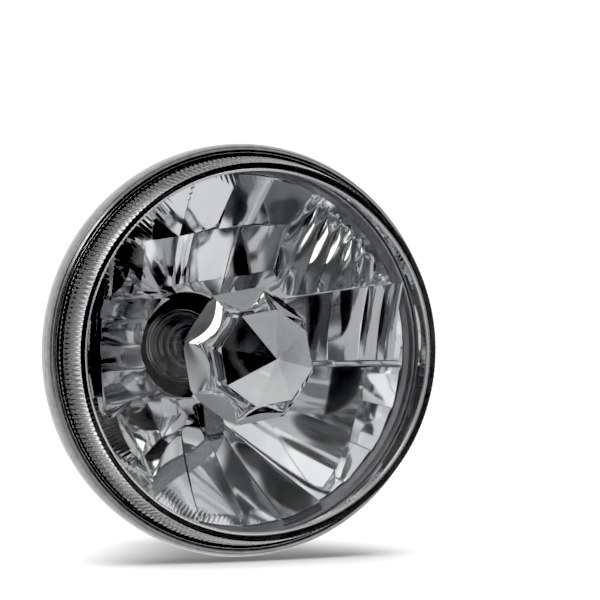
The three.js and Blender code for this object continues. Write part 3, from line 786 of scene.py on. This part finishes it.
def shield():
    """The eight-sided cap: flat facets meet at its tip, and hollow sides run out to flat flares."""
    sides, across = 8, 16
    apothem = math.cos(math.pi / sides)

    def corner(k):
        angle = math.radians(SHIELD_TURN - 45 * k)
        return Vector((math.cos(angle), math.sin(angle)))

    def ring(radius, depth, pinch=0.0):
        points = []
        for k in range(sides):
            a, b = corner(k), corner(k + 1)
            middle = (a + b).normalized()
            for i in range(across):
                t = i / across
                hollow = pinch * 4 * t * (1 - t)
                spot = a.lerp(b, t) * radius - middle * hollow
                points.append(Vector((spot.x, depth - hollow * SHIELD_SLOPE / apothem, spot.y)))
        return points

    def between(first, last, amount):
        return [p.lerp(q, amount) for p, q in zip(first, last)]

    def sagged(first, last, amount):
        row = between(first, last, amount)
        for p in row:
            p.y += SHIELD_SAG * 4 * amount * (1 - amount)
        return row

    def cove(edge, bend, amount):
        turned_back = [p.lerp(q, 0.16) for p, q in zip(edge, bend)]
        for p, q, r in zip(turned_back, edge, bend):
            p.y = q.y + (r.y - q.y) * 0.9
        return [p * (1 - amount) ** 2 + c * 2 * amount * (1 - amount) + q * amount ** 2
                for p, c, q in zip(edge, turned_back, bend)]

    tip = ring(0.01, SHIELD_TIP)
    edge = ring(SHIELD_FACE_R, SHIELD_FACE)
    brim = ring(SHIELD_BRIM_R, SHIELD_BRIM)
    drop = (SHIELD_BRIM_R - SHIELD_FLARE_R) * SHIELD_SLOPE
    bend = ring(SHIELD_FLARE_R, SHIELD_BRIM - drop, SHIELD_PINCH)
    outside = [between(tip, edge, k / 6) for k in range(7)]
    outside += [cove(edge, bend, k / 14) for k in range(1, 15)]
    outside += [sagged(bend, brim, k / 6) for k in range(1, 7)]
    inside = []
    for row in reversed(outside[7:]):
        inside.append([Vector((p.x, 0, p.z)) * (1 - SHIELD_WALL * 1.1 / math.hypot(p.x, p.z))
                       + Vector((0, max(p.y, SHIELD_FACE + 1.0), 0)) for p in row])
    rows = outside + inside + [ring(0.01, SHIELD_TIP + 1.7)]
    around = sides * across
    verts = [(p.x, p.y, p.z - SHIELD_DROP) for row in rows for p in row]
    faces = ring_faces(len(rows), around) + end_faces(len(verts), around)
    piece("shield_cap_chrome", verts, faces, CHROME, "shield_chrome", "shield_cap", sharp=18)


# ---- Strap and its rivets ----

def strap_place(radius, y, side):
    """A point in the strap's plane, side millimetres to one side of it."""
    x = radius * math.cos(STRAP_ANGLE) - side * math.sin(STRAP_ANGLE)
    z = radius * math.sin(STRAP_ANGLE) + side * math.cos(STRAP_ANGLE) - SHIELD_DROP
    return (x, y, z)


def foot_frame():
    """The foot's direction, its normal and its middle, in the plane of (radius, depth)."""
    lamp_r = FOOT_R + SHIELD_DROP
    along = Vector((1, -lamp_r / (2 * BOWL_FOCUS))).normalized()
    out = Vector((along.y, -along.x))
    return along, out, Vector((FOOT_R, bowl_depth(lamp_r))) + out * 1.2


def strap():
    along, _, middle = foot_frame()
    line = [middle + along * 6.0, middle + along * 1.0, middle - along * 4.0, middle - along * 6.4,
            Vector((25.4, 64.9)), Vector((24.2, 60.0)), Vector((20.4, 47.0)), Vector((19.2, 40.0)),
            Vector((17.9, 26.0)), Vector((17.0, 9.0)), Vector((17.0, -8.0)), Vector((17.0, -20.0)),
            Vector((17.0, -29.0))]
    bent = filleted([(p.x, p.y) for p in line], 4.0, 5)
    path = sorted((Vector(p) for p in bent), key=lambda p: -p.y)  # from the foot forwards
    half, thick = STRAP_W / 2, STRAP_T / 2
    section = [(-half + 0.25, -thick), (half - 0.25, -thick), (half, -thick + 0.25),
               (half, thick - 0.25), (half - 0.25, thick), (-half + 0.25, thick),
               (-half, thick - 0.25), (-half, -thick + 0.25)]
    verts = []
    for point, way in zip(path, directions(path)):
        normal = Vector((-way.y, way.x))
        for side, t in section:
            spot = point + normal * t
            verts.append(strap_place(spot.x, spot.y, side))
    count = len(section)
    faces = end_faces(len(verts), count) + ring_faces(len(path), count)
    piece("shield_strap_bent", verts, faces, PLATED, "plated_steel", "shield_strap")


def strap_rivets():
    along, out, middle = foot_frame()
    turn = math.atan2(out.x, -out.y)
    for number, shift in ((1, -2.6), (2, 3.2)):
        spot = middle + along * shift

        def placed(v):
            radius = spot.x + v.x * math.cos(turn) - v.y * math.sin(turn)
            depth = spot.y + v.x * math.sin(turn) + v.y * math.cos(turn)
            return strap_place(radius, depth, v.z)

        outline = [(0, -1.8), (0.9, -1.75), (1.6, -1.5), (2.1, -1.05), (2.2, -0.62), (1.0, -0.62),
                   (1.0, 3.2), (2.1, 3.3), (1.9, 4.2), (1.3, 4.4), (0, 4.5)]
        head = lathe(outline, 28, placed)
        piece(f"strap_rivet_{number}", *head, PLATED, "plated_steel", f"shield_rivet_{number}")


# ---- Holder and clip hardware ----

def holder():
    """The holder, whose sleeve reaches forward through the bowl's neck, and its gasket."""
    outline = [(19.3, 82.6), (19.3, 72.0), (23.6, 72.0), (23.6, 79.6), (36.0, 79.6), (36.0, 88.5),
               (34.0, 88.5), (34.0, 82.6)]
    turned("bulb_holder_body", filleted(outline, 0.5), 144, HOLDER, "holder", node="bulb_holder")
    flat = [(24.4, 78.3), (33, 78.3), (33, 79.3), (24.4, 79.3)]
    turned("holder_gasket_ring", filleted(flat, 0.3), 120, GASKET, "gasket", node="holder_gasket")


def rivets():
    names = ("holder_rivet_left", "holder_rivet_right", "bracket_rivet_left", "bracket_rivet_right",
             "catch_rivet_left", "catch_rivet_right")
    for name in names:
        front, rear = low(name).y, high(name).y
        middle = (low(name) + high(name)) / 2
        outline = [(0, front), (1.2, front + 0.06), (2.0, front + 0.25), (2.7, front + 0.55),
                   (2.9, front + 0.8), (1.3, front + 0.8), (1.3, rear - 0.8), (2.6, rear - 0.8),
                   (2.5, rear - 0.3), (2.0, rear - 0.05), (1.2, rear), (0.8, rear - 0.25),
                   (0, rear - 0.3)]

        def placed(v):
            return v + Vector((middle.x, 0, middle.z))

        piece(name + "_formed", *lathe(outline, 36, placed), PLATED, "plated_steel", name)


def clip_bracket():
    top = high("clip_bracket").y
    base = low("clip_bracket").y
    wide = high("clip_bracket").x
    channel = [(-wide, base), (wide, base), (wide, top), (wide - 1, top), (wide - 1, base + 1),
               (1 - wide, base + 1), (1 - wide, top), (-wide, top)]
    bent = extruded(filleted(channel, 0.45, 3), -31.0, -25.2, upright, 0.12)
    piece("clip_bracket_bent", *bent, PLATED, "plated_steel", "clip_bracket")


def clip_catch():
    """A plate with two pairs of low tabs; each free end of the clip lies between a pair."""
    plate = [(-18, 24.2), (18, 24.2), (18, 27.4), (7.5, 32.2), (-7.5, 32.2), (-18, 27.4)]
    front = low("clip_catch").y
    parts = [extruded(filleted(plate, 1.4, 4), front, front + 1, facing, 0.15)]
    for side in (-1, 1):
        for x0, x1, z1 in ((12.9, 14.05, 27.6), (16.35, 17.5, 26.6)):
            tab = [(side * x0, front + 0.9), (side * x1, front + 0.9), (side * x1, front + 3.6),
                   (side * x0, front + 3.6)]
            parts.append(extruded(filleted(tab, 0.4, 3), 24.6, z1, upright, 0.25))
    piece("clip_catch_pressed", *joined(parts), PLATED, "plated_steel", "clip_catch")


def clip():
    """One bent wire: its middle turns in the bracket and its two free ends lie in the catch."""
    hinge_y, hinge_z, rest = CLIP_HINGE_Y, CLIP_HINGE_Z, CLIP_REST_Y
    side = [(8, hinge_y, hinge_z), (11.9, hinge_y, hinge_z), (13, hinge_y - 0.1, hinge_z + 1.2),
            (14.2, hinge_y - 0.3, -25), (17.4, rest + 0.3, -19.4), (21.8, rest, -12),
            (23.6, rest, -4), (23.6, rest, 3), (21.6, rest, 9), (17.6, rest, 12),
            (14.8, rest, 13.9), (15.2, rest, 17.4), (15.2, rest, 21), (15.2, rest, 24.6),
            (15.2, rest, 28.0)]
    other = [(-x, y, z) for x, y, z in reversed(side)]
    piece("bulb_clip_wire", *tube(other + side, 0.75), WIRE, "spring_wire", "bulb_clip", "clip",
          sharp=50)


def boot():
    outline = [(36.3, 80.2), (38.7, 80.2), (39.5, 81.6), (39.5, 89.0), (37.3, 92.8), (34.5, 96.6),
               (30.0, 98.4), (27.0, 98.4), (25.0, 97.6), (22.0, 97.6), (20.0, 99.0), (17.2, 99.4),
               (16.2, 100.6), (15.4, 102.6), (16.2, 103.2), (16.2, 104.6), (13.4, 104.6),
               (13.4, 96.2), (20.0, 95.4), (30.0, 95.4), (33.4, 93.6), (34.6, 90.0), (36.3, 88.8)]
    turned("dust_boot_rubber", filleted(outline, 2.0, 6), 144, BOOT, "boot_rubber",
           node="dust_boot", body="boot", sharp=50)


# ---- Bulb ----

def bulb_flange():
    """A stepped disc with three lugs, and the ring that centres it in the holder."""
    ref = BULB_REF
    ring = [(11.2, ref + 1), (11.2, ref - 0.9), (12.2, ref - 0.9), (12.6, ref - 0.4),
            (13.8, ref - 0.4), (15.3, ref - 0.9), (15.3, ref - 5.0), (15.7, ref - 5.4),
            (16.5, ref - 5.2), (16.8, ref - 4.8), (17.2, ref - 4.8), (18.9, ref - 4.3),
            (18.9, ref), (19.8, ref), (19.8, ref + 1)]
    parts = [lathe(filleted(ring, 0.2, 3), 120)]
    parts += [sector(17.8, 21.5, ref, ref + 1, 4.5, angle) for angle in (90, 210, 330)]
    piece("bulb_flange_disc", *joined(parts), BULB_METAL, "bulb_metal", "bulb_flange", "bulb")


def bulb_base():
    """The collar that holds the glass, the can behind it, and the insulator in the can."""
    collar = [(0, 84.5), (10.9, 84.5), (10.9, 69.4), (9.3, 69.4), (9.3, 83.4), (0, 83.4)]
    can = [(0, 84.8), (12.2, 84.8), (13, 85.6), (13, 88.2), (12.7, 88.7), (12.7, 89.5), (13, 90),
           (13, 101), (12, 101), (12, 86), (0, 86)]
    base = [(0, 90.9), (11.7, 90.9), (11.7, 101.4), (10.9, 102.0), (3.2, 102.0), (2.8, 101.6),
            (0, 101.6)]
    for node, ending, outline, material, slot in (
            ("bulb_collar", "_cup", collar, BULB_METAL, "bulb_metal"),
            ("bulb_can", "_drawn", can, BULB_METAL, "bulb_metal"),
            ("base_insulator", "_puck", base, INSULATOR, "insulator")):
        turned(node + ending, filleted(outline, 0.25, 3), 96, material, slot, node=node,
               body="bulb")


def blades():
    rear = high("terminal_common").y
    front = low("terminal_common").y
    outline = [(-4, front), (4, front), (4, rear - 1.2), (2.8, rear), (-2.8, rear),
               (-4, rear - 1.2)]
    hole = (0, rear - 4)
    placings = {
        "terminal_common": lambda x, y, t: (x, y, 8.0 + t),
        "terminal_low": lambda x, y, t: (8.0 + t, y, x),
        "terminal_high": lambda x, y, t: (-8.0 - t, y, x),
    }
    for name, place in placings.items():
        piece(name + "_blade", *holed_plate(outline, hole, 0.9, 0.8, place), BLADE, "terminal",
              name, "bulb")


def bulb_glass():
    """The capsule with its coated tip, and the pressed stem that closes it."""
    shoulder, tip, outer_r, inner_r = 35.9, 26.9, 8.5, 7.6

    def cap(r, top):
        angles = [math.pi * k / 24 for k in range(13)]
        return [(r * math.cos(a), shoulder - (shoulder - top) * math.sin(a)) for a in angles]

    outline = [(inner_r, 73.9), (outer_r, 73.9)] + cap(outer_r, tip)
    outline += list(reversed(cap(inner_r, tip + 1)))
    glass = turned("bulb_glass_capsule", outline, 64, BULB_GLASS, "bulb_glass",
                   node="bulb_glass", body="bulb", sharp=50)
    glass.data.materials.append(TIP_COAT)
    for polygon in glass.data.polygons:
        if polygon.center.y < (shoulder - 1.0) * MM:
            polygon.material_index = 1

    stem = [(-5.6, -2.2), (5.6, -2.2), (6, -1.4), (6, 1.4), (5.6, 2.2), (-5.6, 2.2), (-6, 1.4),
            (-6, -1.4)]
    pressed = extruded(stem, BULB_REF - 14, BULB_REF, facing, 0.6)
    piece("pressed_stem", *pressed, STEM, "stem", "bulb_stem", "bulb")


def filaments():
    for name in ("filament_low", "filament_high"):
        front, rear = low(name).y + 0.16, high(name).y - 0.16
        turns, per_turn = 9, 12
        points = []
        for k in range(turns * per_turn + 1):
            angle = 2 * math.pi * k / per_turn
            y = front + (rear - front) * k / (turns * per_turn)
            points.append((0.6 * math.cos(angle), y, 0.6 * math.sin(angle)))
        piece(name + "_coil", *tube(points, 0.15, 1, 6), TUNGSTEN, "filament", name, "bulb",
              sharp=60)


def filament_cup():
    """A half-round trough under the dipped filament."""
    cup = [polar(a, 3.2) for a in range(195, 346, 10)]
    cup += [polar(a, 2.7) for a in range(345, 194, -10)]
    count = len(cup)
    front, rear = low("filament_shield").y, high("filament_shield").y
    verts = [(x, y, z) for y in (front, rear) for x, z in cup]
    half = count // 2
    faces = [(k, (k + 1) % count, count + (k + 1) % count, count + k) for k in range(count)]
    for base in (0, count):
        faces += [(base + k, base + k + 1, base + count - 2 - k, base + count - 1 - k)
                  for k in range(half - 1)]
    piece("filament_cup", verts, faces, BULB_METAL, "bulb_metal", "filament_shield", "bulb")


def leads():
    stem_end, front_low, rear_high, mid_low = 68.6, 50.8, 63.0, 53.4
    routes = {
        "support_common": [(0, stem_end, -1), (0, 67.0, -3.6), (0, 62.6, -4.2),
                           (0, front_low - 2, -4.2)],
        "support_low": [(4.6, stem_end, 0), (4.6, mid_low, 0.4), (4, front_low - 1.2, 1),
                        (1.4, front_low - 1.6, 1.2)],
        "support_high": [(-4.6, stem_end, 0), (-4.6, rear_high - 3, 0.5),
                         (-3.8, rear_high - 4, 0.8), (-1.4, rear_high - 4.4, 1)],
    }
    for name, points in routes.items():
        piece(name + "_lead", *tube(points, 0.34, 6, 10), LEAD, "lead_wire", name, "bulb",
              sharp=60)


# ---- Stage ----

# Azimuth, elevation, inner and outer half-angle, and brightness of each patch of the tent.
TENT = [
    (-57, 14, 26, 30, 0.12),
    (-38, -62, 7, 10, 0.28),
    (30, 68, 8, 12, 0.35),
    (-72, 44, 12, 13.5, 3.0),
    (-20, -6, 12, 15, 0.7),
    (-31, -23, 6, 9, 0.85),
    (-22, 27, 12, 15, 0.05),
    (-24, 31, 4, 6, 1.6),
    (-42, 24, 3, 5, 1.3),
    (29, -29, 6, 9, 0.85),
    (-5, -22, 6, 9, 0.03),
    (11, -24, 7, 10, 0.1),
    (18, 2, 10, 13, 0.03),
    (8, 21, 9, 12, 0.04),
    (-4, 1, 5, 8, 0.12),
    (-40, 2, 10, 13, 0.03),
    (-34, 32, 5, 8, 0.04),
    (-41.5, -12, 5, 7, 0.0),
]


def eased_step(tree, source, first, last):
    """0 below the first value and 1 above the last, with a soft change between."""
    step = add_node(tree, "MapRange", {"From Min": first, "From Max": last, "Value": source},
                    interpolation_type="SMOOTHSTEP")
    return step.outputs["Result"]


def blended(tree, under, tone, amount):
    """A grey laid over another grey or a colour, by an amount from 0 to 1."""
    if isinstance(under, float):
        under = (under, under, under, 1)
    mix = add_node(tree, "Mix", {"A": under, "B": (tone, tone, tone, 1), "Factor": amount},
                   data_type="RGBA")
    return mix.outputs["Result"]


def studio_world():
    """A light tent with dark and bright patches. The camera itself sees plain white."""
    world = bpy.data.worlds.new("studio")
    bpy.context.scene.world = world
    world.use_nodes = True
    tree = world.node_tree
    tree.nodes.clear()
    where = add_node(tree, "TexCoord", {}).outputs["Generated"]
    way = add_node(tree, "VectorMath", {0: where}, operation="NORMALIZE").outputs["Vector"]
    split = add_node(tree, "SeparateXYZ", {"Vector": way})
    colour = blended(tree, 0.6, 0.42, eased_step(tree, split.outputs["Z"], -0.42, -0.34))
    colour = blended(tree, colour, 1.0, eased_step(tree, split.outputs["Y"], -0.05, 0.40))
    for azimuth, elevation, inner, outer, tone in TENT:
        towards = add_node(tree, "VectorMath", {0: way, 1: direction(azimuth, elevation)},
                           operation="DOT_PRODUCT")
        edge = eased_step(tree, towards.outputs["Value"], math.cos(math.radians(outer)),
                          math.cos(math.radians(inner)))
        colour = blended(tree, colour, tone, edge)
    rays = add_node(tree, "LightPath", {}).outputs
    seen = blended(tree, colour, 1.0, rays["Is Camera Ray"])
    soften = add_node(tree, "Math", {0: rays["Is Diffuse Ray"], 1: -0.7, 2: 1.0},
                      operation="MULTIPLY_ADD")
    light = add_node(tree, "Background", {"Color": seen, "Strength": soften.outputs["Value"]})
    add_node(tree, "OutputWorld", {"Surface": light.outputs["Background"]})


def direction(azimuth, elevation):
    """Unit vector from the lamp: azimuth 0 is in front of the lens, positive to the right."""
    a = math.radians(azimuth)
    e = math.radians(elevation)
    return (math.sin(a) * math.cos(e), -math.cos(a) * math.cos(e), math.sin(e))


def floor():
    """A pale floor that mirrors and glass don't see."""
    bpy.ops.mesh.primitive_circle_add(vertices=128, radius=0.6, fill_type="NGON")
    obj = bpy.context.object
    obj.name = "floor"
    obj.location = (0, 0, FLOOR_Z * MM)
    material, tree, shader = principled("floor_white", (0.62, 0.62, 0.62), 0.0, 0.8)
    tinted(tree, shader, grain(tree, 3), (0.6, 0.6, 0.6), (0.64, 0.64, 0.64))
    glow = add_node(tree, "Emission", {"Strength": 0.1}).outputs["Emission"]
    lit = add_node(tree, "AddShader", {0: shader.outputs["BSDF"], 1: glow})
    switched(tree, "Is Camera Ray", shader, lit)
    obj.data.materials.append(material)
    obj.visible_glossy = False
    obj.visible_transmission = False


def lights():
    data = bpy.data.lights.new("top_softbox", "AREA")
    data.shape = "RECTANGLE"
    data.size = 1.5
    data.size_y = 1.5
    data.energy = 46
    lamp = bpy.data.objects.new("top_softbox", data)
    lamp.location = (-0.1, 0.1, 1.2)
    lamp.visible_glossy = False
    lamp.visible_transmission = False
    bpy.context.scene.collection.objects.link(lamp)


def camera():
    """A long lens, to the left of the lamp's axis and nearly level with it."""
    azimuth, elevation = -21.43, 1.06
    back = Vector(direction(azimuth, elevation))
    right = Vector((math.cos(math.radians(azimuth)), math.sin(math.radians(azimuth)), 0))
    up = back.cross(right)
    place = 1.2 * back + 0.0259 * right + 0.0216 * up
    data = bpy.data.cameras.new("camera")
    data.lens = 166.6
    data.sensor_width = 36
    data.clip_end = 20
    obj = bpy.data.objects.new("camera", data)
    obj.matrix_world = Matrix((
        (right.x, up.x, back.x, place.x),
        (right.y, up.y, back.y, place.y),
        (right.z, up.z, back.z, place.z),
        (0, 0, 0, 1)))
    bpy.context.scene.collection.objects.link(obj)
    bpy.context.scene.camera = obj


def colour_management():
    view = bpy.context.scene.view_settings
    view.view_transform = "Standard"
    view.look = "None"
    view.use_curve_mapping = True
    view.curve_mapping.black_level = (0.04, 0.04, 0.04)
    view.curve_mapping.white_level = (0.85, 0.85, 0.85)


def light_paths():
    """Enough bounces for light that passes the lens twice and meets several facets."""
    cycles = bpy.context.scene.cycles
    cycles.max_bounces = 24
    cycles.glossy_bounces = 12
    cycles.transmission_bounces = 20


camera()
colour_management()
light_paths()
studio_world()
floor()
lights()
rim()
seal()
collar()
lens()
bowl_shell()
bowl_facets()
shield()
strap()
strap_rivets()
holder()
rivets()
clip_bracket()
clip_catch()
clip()
boot()
bulb_flange()
bulb_base()
blades()
bulb_glass()
filaments()
filament_cup()
leads()
